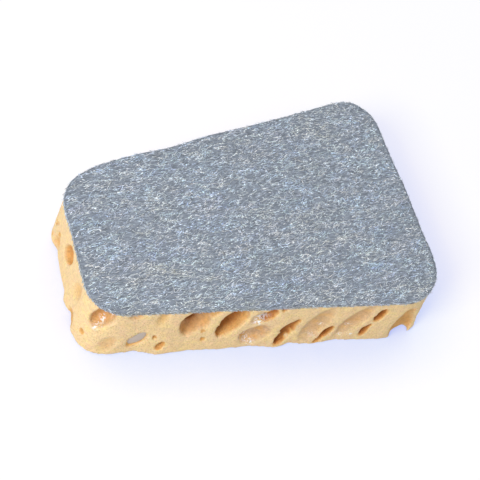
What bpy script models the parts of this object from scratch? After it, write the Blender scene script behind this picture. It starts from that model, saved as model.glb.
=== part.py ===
"""Hand sponge for wiping the walls of a fish tank, in metres with +Z up.

A block of coarse open foam carries a thin pad of scouring fleece, bonded flat
onto its upper face. Seen from above both are a trapezoid with rounded corners.
The foam's walls lean out towards the bottom and are full of long, leaning
pores, which also open in the underside. The block stands on z = 0, with the
middle of its bounding box on the Z axis and its wide end towards +X.
"""

import math
import random
from typing import NamedTuple

import bmesh
import bpy
from mathutils import Matrix, Vector

# Outline of the pad and of the foam's upper face
LENGTH = 0.110
WIDE_END = 0.0785
NARROW_END = 0.046
CORNER_RADIUS = 0.012

# Foam block
FOAM_HEIGHT = 0.025
WALL_FLARE = 0.0015
BOTTOM_CORNER_RADIUS = 0.0105
BOTTOM_EDGE_ROUND = 0.0008

# Scouring pad and the glue line under it
PAD_THICKNESS = 0.0017
CONTACT_GAP = 0.0003

# Pores that follow a seeded rule: their least and greatest sizes, and leans in degrees
PORE_SEED = 11
PORE_HALF_LENGTHS = (0.0030, 0.0085)
PORE_HALF_WIDTHS = (0.0014, 0.0036)
PORE_DEPTHS = (0.0018, 0.0060)
PORE_LEANS = (6.0, 22.0)

# Wall pores of that kind: their stretch of the outline, as shares of the front edge
# counted onwards and backwards from its left end, and their two rows, as shares of the height
WALL_PORE_STEP = 0.0070
WALL_PORES_FROM = 1.23
WALL_PORES_TO = -0.565
WALL_PORE_ROWS = (0.74, 0.26)
WALL_PORE_ROW_JITTER = 0.14
WALL_PORE_STEP_JITTER = 0.25

# Underside pores of that kind
FLOOR_PORE_STEP = 0.0115
FLOOR_PORE_MARGIN = 0.0065
FLOOR_PORE_JITTER = 0.22
FLOOR_PORE_OVALS = (1.0, 1.5)

# Fineness of the meshes
CORNER_STEPS = 8
EDGE_ROUND_STEPS = 2
LARGE_PORE_RINGS = (12, 8)
SMALL_PORE_RINGS = (8, 6)
LARGE_PORE_FROM = 0.0060

# Colours, as linear red, green and blue
FOAM_COLOUR = (0.82, 0.60, 0.28)
PAD_COLOUR = (0.26, 0.30, 0.37)


class Pore(NamedTuple):
    """An ellipsoidal hole in a wall of the foam.

    along: place round the outline, as a share of the front edge's straight length,
        counted from that edge's left end; less than 0 is round the front left corner.
    up: height of the centre, as a share of the foam's height.
    half_long, half_wide, depth: half axes in metres, upright, along the wall and inwards.
    lean: degrees from upright, with the top towards the right.
    """

    along: float
    up: float
    half_long: float
    half_wide: float
    depth: float
    lean: float


FRONT_PORES = (
    Pore(-0.074, 0.82, 0.0072, 0.0034, 0.0045, 19.0),
    Pore(0.030, 0.95, 0.0022, 0.0020, 0.0012, 15.0),
    Pore(-0.042, 0.26, 0.0055, 0.0025, 0.0010, 18.0),
    Pore(0.054, 0.33, 0.0050, 0.0018, 0.0018, 25.0),
    Pore(0.124, 0.85, 0.0045, 0.0018, 0.0010, 8.0),
    Pore(0.144, 0.18, 0.0025, 0.0012, 0.0028, 16.0),
    Pore(0.237, 0.79, 0.0084, 0.0042, 0.0075, 13.0),
    Pore(0.378, 0.70, 0.0100, 0.0037, 0.0080, 16.0),
    Pore(0.490, 0.83, 0.0045, 0.0030, 0.0038, 12.0),
    Pore(0.477, 0.36, 0.0060, 0.0044, 0.0028, 27.0),
    Pore(0.549, 0.97, 0.0014, 0.0009, 0.0015, 12.0),
    Pore(0.594, 0.42, 0.0086, 0.0021, 0.0065, 15.0),
    Pore(0.703, 0.52, 0.0112, 0.0036, 0.0016, 13.0),
    Pore(0.752, 0.24, 0.0048, 0.0018, 0.0050, 9.0),
    Pore(0.845, 0.58, 0.0098, 0.0027, 0.0017, 18.0),
    Pore(0.930, 0.71, 0.0042, 0.0018, 0.0045, 8.0),
    Pore(0.902, 0.31, 0.0040, 0.0013, 0.0035, 6.0),
    Pore(1.068, 0.25, 0.0102, 0.0044, 0.0080, 15.0),
)

LEFT_PORES = (
    Pore(-0.370, 0.62, 0.0070, 0.0028, 0.0040, 19.0),
    Pore(-0.290, 0.06, 0.0055, 0.0050, 0.0016, 10.0),
    Pore(-0.195, 0.10, 0.0040, 0.0024, 0.0016, 12.0),
    Pore(-0.225, 0.62, 0.0060, 0.0026, 0.0014, 15.0),
    Pore(-0.485, 0.20, 0.0050, 0.0022, 0.0035, 14.0),
)


def clear_scene():
    """Remove every object that the open file holds."""
    for item in list(bpy.data.objects):
        bpy.data.objects.remove(item, do_unlink=True)


def new_collection(name):
    """Return a new collection under the scene's own."""
    collection = bpy.data.collections.new(name)
    bpy.context.scene.collection.children.link(collection)
    return collection


def new_material(name, colour, roughness):
    """Return a plain Principled BSDF material."""
    material = bpy.data.materials.new(name)
    material.use_nodes = True
    shader = material.node_tree.nodes["Principled BSDF"]
    shader.inputs["Base Color"].default_value = (*colour, 1.0)
    shader.inputs["Roughness"].default_value = roughness
    shader.inputs["Metallic"].default_value = 0.0
    return material


def foam_material():
    """Pale yellow, quite dull foam."""
    return new_material("foam", FOAM_COLOUR, 0.9)


def pad_material():
    """Grey-blue scouring fleece."""
    return new_material("fleece", PAD_COLOUR, 0.95)


def trapezoid(offset):
    """Return the outline's sharp corners, counter-clockwise from the front left.

    offset moves each corner outwards by that much in X and in Y.
    """
    end_x = LENGTH / 2 + offset
    narrow_y = NARROW_END / 2 + offset
    wide_y = WIDE_END / 2 + offset
    return [
        Vector((-end_x, -narrow_y)),
        Vector((end_x, -wide_y)),
        Vector((end_x, wide_y)),
        Vector((-end_x, narrow_y)),
    ]


def corner_arc(before, corner, after, radius):
    """Return a rounded corner's centre, the angle where its arc starts, and its sweep."""
    incoming = (corner - before).normalized()
    outgoing = (after - corner).normalized()
    sweep = incoming.angle(outgoing)
    start = corner - incoming * radius * math.tan(sweep / 2)
    inward = Vector((-incoming.y, incoming.x))
    centre = start + inward * radius
    return centre, math.atan2(-inward.y, -inward.x), sweep


def outline_arcs(offset, radius):
    """Return (centre, start angle, sweep) for the four corners of the outline."""
    corners = trapezoid(offset)
    arcs = []
    for index, corner in enumerate(corners):
        after = corners[(index + 1) % len(corners)]
        arcs.append(corner_arc(corners[index - 1], corner, after, radius))
    return arcs


def arc_point(centre, radius, angle):
    """Return the point of a circle at an angle."""
    return centre + radius * Vector((math.cos(angle), math.sin(angle)))


def outline_points(offset, radius):
    """Return the rounded outline as a closed run of points, counter-clockwise."""
    points = []
    for centre, start, sweep in outline_arcs(offset, radius):
        for step in range(CORNER_STEPS + 1):
            points.append(arc_point(centre, radius, start + sweep * step / CORNER_STEPS))
    return points


def outline_stretches():
    """Return the foam's upper outline as stretches, from the left end of the front edge on.

    Each is (length, start point, direction, arc centre, arc start angle), and the arc's
    values are None on a straight edge.
    """
    arcs = outline_arcs(0.0, CORNER_RADIUS)
    stretches = []
    for index, (centre, start, sweep) in enumerate(arcs):
        next_centre, next_start, next_sweep = arcs[(index + 1) % len(arcs)]
        edge_from = arc_point(centre, CORNER_RADIUS, start + sweep)
        edge = arc_point(next_centre, CORNER_RADIUS, next_start) - edge_from
        stretches.append((edge.length, edge_from, edge.normalized(), None, None))
        stretches.append((CORNER_RADIUS * next_sweep, None, None, next_centre, next_start))
    return stretches


def place_on_outline(distance):
    """Return the point and the outward normal at a distance round the foam's upper outline.

    The distance runs counter-clockwise from the left end of the straight front edge.
    """
    stretches = outline_stretches()
    distance %= sum(stretch[0] for stretch in stretches)
    for length, edge_from, direction, centre, start in stretches:
        if distance <= length:
            break
        distance -= length
    if centre is None:
        return edge_from + direction * distance, Vector((direction.y, -direction.x))
    angle = start + distance / CORNER_RADIUS
    return arc_point(centre, CORNER_RADIUS, angle), Vector((math.cos(angle), math.sin(angle)))


def foam_block(collection):
    """Loft the foam from its flared bottom outline to its upper outline."""
    bottom = outline_points(WALL_FLARE, BOTTOM_CORNER_RADIUS)
    top = outline_points(0.0, CORNER_RADIUS)
    shape = bmesh.new()
    lower = [shape.verts.new((point.x, point.y, 0.0)) for point in bottom]
    upper = [shape.verts.new((point.x, point.y, FOAM_HEIGHT)) for point in top]
    count = len(lower)
    for index in range(count):
        after = (index + 1) % count
        shape.faces.new((lower[index], lower[after], upper[after], upper[index]))
    shape.faces.new(upper)
    underside = shape.faces.new(list(reversed(lower)))
    bmesh.ops.bevel(
        shape,
        geom=list(underside.edges),
        offset=BOTTOM_EDGE_ROUND,
        segments=EDGE_ROUND_STEPS,
        affect="EDGES",
    )
    bmesh.ops.triangulate(shape, faces=shape.faces[:])
    mesh = bpy.data.meshes.new("sponge_body")
    shape.to_mesh(mesh)
    shape.free()
    mesh.materials.append(foam_material())
    block = bpy.data.objects.new("sponge_body", mesh)
    collection.objects.link(block)
    return block


def pore_cutter(name, centre, axes, half_axes, collection):
    """Add an ellipsoid that cuts one pore.

    axes: three unit vectors, for the directions of the three half axes.
    """
    rings = LARGE_PORE_RINGS if max(half_axes) > LARGE_PORE_FROM else SMALL_PORE_RINGS
    shape = bmesh.new()
    bmesh.ops.create_uvsphere(shape, u_segments=rings[0], v_segments=rings[1], radius=1.0)
    turn = Matrix(axes).transposed().to_4x4()
    stretch = Matrix.Diagonal((*half_axes, 1.0))
    bmesh.ops.transform(shape, matrix=Matrix.Translation(centre) @ turn @ stretch, verts=shape.verts)
    mesh = bpy.data.meshes.new(name)
    shape.to_mesh(mesh)
    shape.free()
    cutter = bpy.data.objects.new(name, mesh)
    cutter.hide_render = True
    cutter.display_type = "WIRE"
    collection.objects.link(cutter)


def cut_wall_pore(name, pore, front_edge, collection):
    """Add the cutter of a pore in the wall."""
    point, outward = place_on_outline(pore.along * front_edge)
    height = pore.up * FOAM_HEIGHT
    point = point + outward * WALL_FLARE * (1.0 - pore.up)
    inward = Vector((-outward.x, -outward.y, 0.0))
    rightward = Vector((-outward.y, outward.x, 0.0))
    lean = math.radians(pore.lean)
    upward = Vector((0.0, 0.0, 1.0)) * math.cos(lean) + rightward * math.sin(lean)
    sideways = inward.cross(upward)
    half_axes = (pore.half_wide, pore.depth, pore.half_long)
    pore_cutter(name, Vector((point.x, point.y, height)), (sideways, inward, upward), half_axes, collection)


def placed_pores(collection):
    """Cut the pores whose places are chosen one by one, on the front and the left."""
    front_edge = outline_stretches()[0][0]
    for index, pore in enumerate(FRONT_PORES + LEFT_PORES):
        cut_wall_pore(f"placed_pore_{index + 1:02d}", pore, front_edge, collection)


def random_pore(chance, along, up):
    """Return a pore of random size and lean."""
    half_long = chance.uniform(*PORE_HALF_LENGTHS)
    half_wide = min(chance.uniform(*PORE_HALF_WIDTHS), half_long)
    return Pore(along, up, half_long, half_wide, chance.uniform(*PORE_DEPTHS), chance.uniform(*PORE_LEANS))


def hidden_wall_pores(collection):
    """Cut pores round the right, the back and the rest of the left wall.

    They alternate between a low and a high row, one every step round the outline.
    """
    chance = random.Random(PORE_SEED)
    lengths = [stretch[0] for stretch in outline_stretches()]
    front_edge = lengths[0]
    first = WALL_PORES_FROM * front_edge
    span = sum(lengths) + WALL_PORES_TO * front_edge - first
    count = max(1, round(span / WALL_PORE_STEP))
    for index in range(count):
        shift = chance.uniform(-WALL_PORE_STEP_JITTER, WALL_PORE_STEP_JITTER)
        distance = first + span * (index + shift) / count
        up = WALL_PORE_ROWS[index % len(WALL_PORE_ROWS)]
        up += chance.uniform(-WALL_PORE_ROW_JITTER, WALL_PORE_ROW_JITTER)
        pore = random_pore(chance, distance / front_edge, up)
        cut_wall_pore(f"wall_pore_{index + 1:02d}", pore, front_edge, collection)


def half_width_at(x):
    """Return half the trapezoid's width at a place along X."""
    share = (x + LENGTH / 2) / LENGTH
    return (NARROW_END + (WIDE_END - NARROW_END) * share) / 2


def underside_pores(collection):
    """Cut pores up into the underside, on a jittered grid kept clear of the walls."""
    chance = random.Random(PORE_SEED + 1)
    reach = LENGTH / 2 - FLOOR_PORE_MARGIN
    columns = max(1, round(2 * reach / FLOOR_PORE_STEP))
    number = 0
    for column in range(columns):
        x = -reach + 2 * reach * (column + 0.5) / columns
        side = half_width_at(x) - FLOOR_PORE_MARGIN
        rows = max(1, round(2 * side / FLOOR_PORE_STEP))
        for row in range(rows):
            y = -side + 2 * side * (row + 0.5) / rows
            number += 1
            underside_pore(f"floor_pore_{number:02d}", x, y, chance, collection)


def underside_pore(name, x, y, chance, collection):
    """Add the cutter of one pore in the underside."""
    jitter = FLOOR_PORE_STEP * FLOOR_PORE_JITTER
    centre = Vector((x + chance.uniform(-jitter, jitter), y + chance.uniform(-jitter, jitter), 0.0))
    lean = math.radians(chance.uniform(*PORE_LEANS))
    upward = Vector((math.sin(lean), 0.0, math.cos(lean)))
    turn = Matrix.Rotation(chance.uniform(0.0, math.pi), 3, upward)
    sideways = turn @ upward.cross(Vector((1.0, 0.0, 0.0))).normalized()
    half_wide = chance.uniform(*PORE_HALF_WIDTHS)
    half_broad = half_wide * chance.uniform(*FLOOR_PORE_OVALS)
    half_axes = (half_wide, half_broad, chance.uniform(*PORE_HALF_LENGTHS))
    pore_cutter(name, centre, (sideways, upward.cross(sideways), upward), half_axes, collection)


def cut_pores(block, cutters):
    """Take every cutter out of the foam block."""
    cut = block.modifiers.new("pores", "BOOLEAN")
    cut.operation = "DIFFERENCE"
    cut.solver = "EXACT"
    cut.operand_type = "COLLECTION"
    cut.collection = cutters


def scouring_pad(collection):
    """Add the fleece pad, a flat outline with the foam's upper shape."""
    curve = bpy.data.curves.new("scouring_pad", "CURVE")
    curve.dimensions = "2D"
    curve.fill_mode = "BOTH"
    curve.extrude = PAD_THICKNESS / 2
    points = outline_points(0.0, CORNER_RADIUS)
    spline = curve.splines.new("POLY")
    spline.points.add(len(points) - 1)
    for target, point in zip(spline.points, points):
        target.co = (point.x, point.y, 0.0, 1.0)
    spline.use_cyclic_u = True
    curve.materials.append(pad_material())
    pad = bpy.data.objects.new("scouring_pad", curve)
    pad.location = (0.0, 0.0, FOAM_HEIGHT + CONTACT_GAP + PAD_THICKNESS / 2)
    collection.objects.link(pad)


def main():
    """Build the sponge."""
    clear_scene()
    parts = new_collection("tank_sponge")
    cutters = new_collection("pore_cutters")
    block = foam_block(parts)
    placed_pores(cutters)
    hidden_wall_pores(cutters)
    underside_pores(cutters)
    cut_pores(block, cutters)
    scouring_pad(parts)


main()
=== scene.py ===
"""Looks of a hand sponge for wiping the walls of a fish tank.

A block of coarse open foam, full of long leaning pores, carries a pad of
scouring fleece made of thousands of crossing fibres. All lengths are in metres,
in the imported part's own frame: +X towards the wide end, +Z up through the pad.
"""

import logging
import math
import random
from dataclasses import dataclass, field, replace
from enum import Enum

import bpy
import numpy as np
from mathutils import Matrix, Vector


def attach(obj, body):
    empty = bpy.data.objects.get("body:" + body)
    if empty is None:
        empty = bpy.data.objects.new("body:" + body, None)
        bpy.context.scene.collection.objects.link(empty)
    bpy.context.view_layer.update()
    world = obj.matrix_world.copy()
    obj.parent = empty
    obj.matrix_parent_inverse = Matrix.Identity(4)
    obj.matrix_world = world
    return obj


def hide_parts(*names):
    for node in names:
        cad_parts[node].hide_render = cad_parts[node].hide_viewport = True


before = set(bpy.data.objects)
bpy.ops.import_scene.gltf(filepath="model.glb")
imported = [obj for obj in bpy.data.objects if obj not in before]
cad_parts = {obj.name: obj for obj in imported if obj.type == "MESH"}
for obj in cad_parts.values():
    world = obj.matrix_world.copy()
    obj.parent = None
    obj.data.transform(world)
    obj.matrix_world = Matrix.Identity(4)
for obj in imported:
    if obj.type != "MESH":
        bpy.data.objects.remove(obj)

Array = np.ndarray
Colour = tuple[float, float, float]
Span = tuple[float, float]
Triple = tuple[float, float, float]

LOG = logging.getLogger("tank_sponge")
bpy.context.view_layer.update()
BODY = "root"
BLACK = (0.0, 0.0, 0.0)
WHITE = (1.0, 1.0, 1.0)


class Slot(Enum):
    """The record's material slots."""

    FOAM = "foam"
    FLEECE = "fleece"


# Shader building


class Signal:
    """A number inside a material, so that shader maths reads as an expression.

    Args:
        tree: the node tree that the maths nodes go into.
        socket: the output that carries the number.
    """

    def __init__(self, tree: bpy.types.NodeTree, socket: bpy.types.NodeSocket) -> None:
        """Keep the tree and the output socket."""
        self.tree = tree
        self.socket = socket

    def math(self, operation: str, *values: "float | Signal", clamp: bool = False) -> "Signal":
        """Add a Math node.

        Args:
            operation: the node's operation.
            values: its inputs in order.
            clamp: whether the result is kept from 0 to 1.

        Returns:
            The node's result.
        """
        node = self.tree.nodes.new("ShaderNodeMath")
        node.operation = operation
        node.use_clamp = clamp
        for target, value in zip(node.inputs, values):
            if isinstance(value, Signal):
                self.tree.links.new(value.socket, target)
            else:
                target.default_value = value
        return Signal(self.tree, node.outputs[0])

    def __add__(self, other: "float | Signal") -> "Signal":
        """Return the sum."""
        return self.math("ADD", self, other)

    __radd__ = __add__

    def __sub__(self, other: "float | Signal") -> "Signal":
        """Return self less other."""
        return self.math("SUBTRACT", self, other)

    def __rsub__(self, other: "float | Signal") -> "Signal":
        """Return other less self."""
        return self.math("SUBTRACT", other, self)

    def __mul__(self, other: "float | Signal") -> "Signal":
        """Return the product."""
        return self.math("MULTIPLY", self, other)

    __rmul__ = __mul__

    def clamped(self) -> "Signal":
        """Return the value kept from 0 to 1."""
        return self.math("ADD", self, 0.0, clamp=True)

    def step(self, low: float, high: float) -> "Signal":
        """Rise from 0 at low to 1 at high, in a straight line.

        Args:
            low: the value that gives 0.
            high: the value that gives 1.

        Returns:
            The share, kept from 0 to 1.
        """
        slope = 1.0 / (high - low)
        return self.math("MULTIPLY_ADD", self, slope, -low * slope, clamp=True)


class Nodes:
    """A node tree under construction.

    Args:
        tree: the node tree.
    """

    def __init__(self, tree: bpy.types.NodeTree) -> None:
        """Keep the tree."""
        self.tree = tree

    def node(self, kind: str, settings: dict | None = None, **sockets: object) -> bpy.types.Node:
        """Add any node.

        Args:
            kind: the node's type, without its ShaderNode prefix.
            settings: properties that are set before the sockets.
            sockets: values or links by socket name, with _ for a space.

        Returns:
            The node.
        """
        made = self.tree.nodes.new("ShaderNode" + kind)
        for key, value in (settings or {}).items():
            setattr(made, key, value)
        for key, value in sockets.items():
            self.feed(made, key.replace("_", " "), value)
        return made

    def feed(self, node: bpy.types.Node, name: str, value: object) -> None:
        """Set or link the first enabled input of a name.

        Args:
            node: the node.
            name: the input's name.
            value: a Signal, an output socket or a plain value.
        """
        target = next(socket for socket in node.inputs if socket.name == name and socket.enabled)
        if isinstance(value, Signal):
            value = value.socket
        if isinstance(value, bpy.types.NodeSocket):
            self.tree.links.new(value, target)
        else:
            target.default_value = value

    def blend(self, share: object, low: object, high: object) -> bpy.types.NodeSocket:
        """Mix two colours.

        Args:
            share: a number, a Signal or a socket, 0 for low and 1 for high.
            low: a colour or a socket.
            high: a colour or a socket.

        Returns:
            The mixed colour.
        """
        low, high = ((*value, 1.0) if isinstance(value, tuple) else value for value in (low, high))
        made = self.node("Mix", {"data_type": "RGBA"}, Factor=share, A=low, B=high)
        return next(socket for socket in made.outputs if socket.enabled)


class Finish(Nodes):
    """A material under construction, with its Principled shader.

    Args:
        name: the material's name.
    """

    def __init__(self, name: str) -> None:
        """Make the material and find its shader and its output."""
        self.material = bpy.data.materials.new(name)
        self.material.use_nodes = True
        super().__init__(self.material.node_tree)
        self.shader = self.tree.nodes["Principled BSDF"]
        self.output = self.tree.nodes["Material Output"]

    def attribute(self, name: str) -> Signal:
        """Return a mesh attribute's number."""
        return Signal(self.tree, self.node("Attribute", {"attribute_name": name}).outputs["Fac"])

    def colour_attribute(self, name: str) -> bpy.types.NodeSocket:
        """Return a mesh attribute's colour."""
        return self.node("Attribute", {"attribute_name": name}).outputs["Color"]

    def place(self, stretch: Triple = (1.0, 1.0, 1.0)) -> bpy.types.NodeSocket:
        """Return Object coordinates, stretched along each axis."""
        coordinates = self.node("TexCoord").outputs["Object"]
        return self.node("Mapping", None, Vector=coordinates, Scale=stretch).outputs["Vector"]

    def noise(self, where: bpy.types.NodeSocket, size: float, detail: float = 2.0) -> Signal:
        """Return cloudy noise from 0 to 1.

        Args:
            where: the coordinates.
            size: the noise's grain in metres.
            detail: how many finer layers it has.
        """
        made = self.node("TexNoise", None, Vector=where, Scale=1.0 / size, Detail=detail)
        return Signal(self.tree, made.outputs[0])

    def cells(self, where: bpy.types.NodeSocket, size: float) -> Signal:
        """Return the distance to the nearest of scattered points, in cells of a size."""
        made = self.node("TexVoronoi", None, Vector=where, Scale=1.0 / size)
        return Signal(self.tree, made.outputs["Distance"])

    def scaled(self, colour: bpy.types.NodeSocket, share: Signal) -> bpy.types.NodeSocket:
        """Return a colour made lighter or darker by a factor."""
        made = self.node("VectorMath", {"operation": "SCALE"}, Vector=colour, Scale=share)
        return made.outputs["Vector"]

    def bump(self, height: Signal, distance: float, strength: float = 1.0) -> None:
        """Feed the shader's normal with a bump.

        Args:
            height: the height, from 0 to 1.
            distance: how far 1 stands out, in metres.
            strength: the bump's strength.
        """
        made = self.node("Bump", None, Height=height, Distance=distance, Strength=strength)
        self.feed(self.shader, "Normal", made.outputs["Normal"])

    def constants(self, **values: float | Triple) -> None:
        """Set the shader's plain values by socket name, with _ for a space."""
        for key, value in values.items():
            self.feed(self.shader, key.replace("_", " "), value)


@dataclass(frozen=True)
class FoamFinish:
    """Open foam: pale skin, painted orange shade in its pores, glossy where a cell's film is left.

    Inside a pore the skin colour turns to the inner one, and near the pore's far end to
    the deep one, both painted shade at places the mesh holds. Fine cells speckle it,
    with painted shade in dots at the tiny pits, and clouds mottle it. Films are browner
    and shiny, darker in noise patches of painted shade, with painted white glints.
    """

    skin: Colour = (0.815, 0.602, 0.330)
    yellow: Colour = (0.845, 0.645, 0.305)
    pink: Colour = (0.825, 0.560, 0.355)
    inner: Colour = (0.70, 0.39, 0.135)
    deep: Colour = (0.47, 0.185, 0.045)
    film: Colour = (0.65, 0.46, 0.30)
    film_shade: Colour = (0.46, 0.31, 0.195)
    glint: Colour = (0.93, 0.92, 0.93)
    painted_speck: Colour = (0.56, 0.33, 0.14)
    cell: float = 0.00055
    ragged_size: float = 0.0013
    yellow_size: float = 0.0035
    pink_size: float = 0.0021
    shade_size: float = 0.0016
    painted_glint_grain: float = 0.0007
    mottle_size: float = 0.0011
    wrinkle_size: float = 0.0010
    relief: float = 0.00026
    roughness: float = 0.85
    film_roughness: float = 0.25

    def build(self) -> bpy.types.Material:
        """Return the material."""
        make = Finish("open_foam")
        where = make.place()
        hollow = make.attribute("hollow")
        deep = make.attribute("deep")
        film = make.attribute("film")
        grain = make.noise(where, self.cell, 3.0)
        pits = make.cells(where, self.cell * 1.5)
        ragged = make.noise(where, self.ragged_size) - 0.5
        yellow = make.noise(where, self.yellow_size, 3.0).step(0.48, 0.66)
        pink = make.noise(make.place((1.3, 1.3, 0.8)), self.pink_size, 3.0).step(0.50, 0.70)
        colour = make.blend(yellow * 0.8, self.skin, self.yellow)
        colour = make.blend(pink * 0.55, colour, self.pink)
        # Painted shade of tiny pits: darker dots at the cell centres that the bump sinks.
        painted_pit_shade = pits.step(0.30, 0.12) * grain.step(0.46, 0.60)
        colour = make.blend(painted_pit_shade * 0.75, colour, self.painted_speck)
        # Painted shade inside the pores: orange, then dark brown deep in, by depth.
        inside = hollow + ragged * 0.30
        colour = make.blend(inside.step(0.08, 0.85), colour, self.inner)
        colour = make.blend((deep + ragged * 0.30).step(0.05, 1.0), colour, self.deep)
        # Films turn darker in noise patches of painted shade.
        shade = make.noise(where, self.shade_size).step(0.38, 0.64)
        skin_of_film = make.blend(shade, self.film, self.film_shade)
        colour = make.blend(film * 0.85, colour, skin_of_film)
        # Painted glints: white speckles put into the colour where the glint attribute is set, with a lower
        # roughness there too.
        painted_glint_share = make.noise(where, self.painted_glint_grain, 1.0).step(0.47, 0.56)
        painted_glint_share = make.attribute("glint") * painted_glint_share
        colour = make.blend(painted_glint_share.clamped(), colour, self.glint)
        mottle = make.noise(where, self.mottle_size).step(0.32, 0.68)
        tone = 0.86 + grain.step(0.30, 0.70) * 0.16 + mottle * 0.12
        make.feed(make.shader, "Base Color", make.scaled(colour, tone))
        gloss = (film * 0.8 + painted_glint_share).clamped()
        smoother = self.roughness - self.film_roughness
        make.feed(make.shader, "Roughness", self.roughness - gloss * smoother)
        wrinkles = make.noise(make.place((1.0, 1.0, 0.6)), self.wrinkle_size, 3.0)
        rough_skin = grain + pits.step(0.0, 0.35) * 0.9
        height = rough_skin * (1.0 - film * 0.8) + wrinkles * film * 1.8
        make.bump(height, self.relief, 0.9)
        make.constants(Subsurface_Weight=0.2, Subsurface_Scale=0.0015, IOR=1.4)
        make.constants(Subsurface_Radius=(1.0, 0.5, 0.18), Specular_IOR_Level=0.35)
        return make.material


@dataclass(frozen=True)
class LensFinish:
    """A cell film left whole: smooth and a little shiny, its grey partly painted shade of the dark empty
    cell behind it.
    """

    # The grey is the film's colour darkened by painted shade of the empty cell behind it.
    colour: Colour = (0.47, 0.395, 0.335)
    rim: Colour = (0.62, 0.47, 0.33)
    roughness: float = 0.35

    def build(self) -> bpy.types.Material:
        """Return the material."""
        make = Finish("cell_film")
        edge = make.attribute("edge")
        clouds = make.noise(make.place(), 0.003, 2.0)
        colour = make.blend(edge.step(0.75, 1.0), self.colour, self.rim)
        colour = make.blend(clouds.step(0.4, 0.7) * 0.25, colour, self.rim)
        make.feed(make.shader, "Base Color", colour)
        make.bump(make.noise(make.place(), 0.0015, 2.0), 0.0001, 0.4)
        make.constants(Roughness=self.roughness)
        return make.material


@dataclass(frozen=True)
class FeltFinish:
    """The matted bulk of the fleece, under its loose fibres, in dark greys that are painted shade for the
    gaps between them.

    Long thin noise along X gives the lie of the fibres.
    """

    dark: Colour = (0.13, 0.15, 0.18)
    light: Colour = (0.27, 0.31, 0.37)
    roughness: float = 0.9

    def build(self) -> bpy.types.Material:
        """Return the material."""
        make = Finish("matted_fleece_gap_shade")
        strands = make.noise(make.place((0.2, 1.0, 1.0)), 0.0004, 3.0)
        make.feed(make.shader, "Base Color", make.blend(strands.step(0.35, 0.65), self.dark, self.light))
        make.bump(strands, 0.0003, 0.8)
        make.constants(Roughness=self.roughness)
        return make.material


@dataclass(frozen=True)
class FibreFinish:
    """Loose fibres: each has its own grey-blue, made lighter and darker along its length by painted glints
    and shade.
    """

    roughness: float = 0.40
    darkest: float = 0.52
    glint_lightness: float = 1.58

    def build(self) -> bpy.types.Material:
        """Return the material."""
        make = Finish("fleece_fibre_painted_glints")
        # Painted glints and shade: noise lightens and darkens each fibre in short stretches.
        painted_speck = make.noise(make.place(), 0.00050, 1.0)
        tone = self.darkest + painted_speck.step(0.33, 0.67) * (self.glint_lightness - self.darkest)
        make.feed(make.shader, "Base Color", make.scaled(make.colour_attribute("fibre_colour"), tone))
        make.constants(Roughness=self.roughness)
        return make.material


@dataclass(frozen=True)
class TableFinish:
    """A white table top that keeps the object's faint cool shadow, partly real and partly painted.

    For what the camera sees, in glass and gloss too, it is half glow and half the light
    that falls on it, so the lamps' real shadow shows in it. The glow turns to lavender where
    the sponge stands close and hides the upper left, from which the light comes: a painted
    shadow. Far from the sponge it is plain white.
    """

    albedo: Colour = (0.80, 0.80, 0.80)
    seen: Colour = (0.48, 0.445, 0.15)
    glow: Colour = (0.49, 0.525, 0.86)
    # shade is the painted shadow's colour; the next three fields set where the painted shadow lies.
    shade: Colour = (0.25, 0.365, 0.845)
    reach: float = 0.024
    open_from: Span = (0.47, 0.96)
    towards_light: Triple = (-0.42, 0.24, 0.88)
    white_from: Span = (0.10, 0.32)

    def build(self) -> bpy.types.Material:
        """Return the material."""
        make = Finish("white_table_painted_shadow")
        rays = make.node("LightPath").outputs
        seen = Signal(make.tree, rays["Is Camera Ray"])
        for ray in ("Is Glossy Ray", "Is Transmission Ray"):
            seen = (seen + Signal(make.tree, rays[ray])).clamped()
        towards = make.node("CombineXYZ", None, **dict(zip("XYZ", self.towards_light))).outputs[0]
        # Painted shadow: an occlusion test that leans towards the light turns the glow to the shade colour
        # near the sponge.
        painted_shadow_probe = make.node("AmbientOcclusion", {"samples": 8}, Distance=self.reach, Normal=towards)
        openness = Signal(make.tree, painted_shadow_probe.outputs["AO"])
        glow = make.blend(openness.step(*self.open_from), self.shade, self.glow)
        away = make.node("VectorMath", {"operation": "LENGTH"}, Vector=make.place()).outputs["Value"]
        far = Signal(make.tree, away).step(*self.white_from)
        glow = make.blend(seen, BLACK, make.blend(far, glow, WHITE))
        lit = make.blend(far, self.seen, BLACK)
        diffuse = make.node("BsdfDiffuse", None, Color=make.blend(seen, self.albedo, lit))
        emission = make.node("Emission", None, Color=glow, Strength=1.0)
        both = make.node("AddShader")
        for part, target in zip((diffuse, emission), both.inputs):
            make.tree.links.new(part.outputs[0], target)
        make.feed(make.output, "Surface", both.outputs[0])
        make.tree.nodes.remove(make.shader)
        return make.material


# Meshes from arrays


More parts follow.
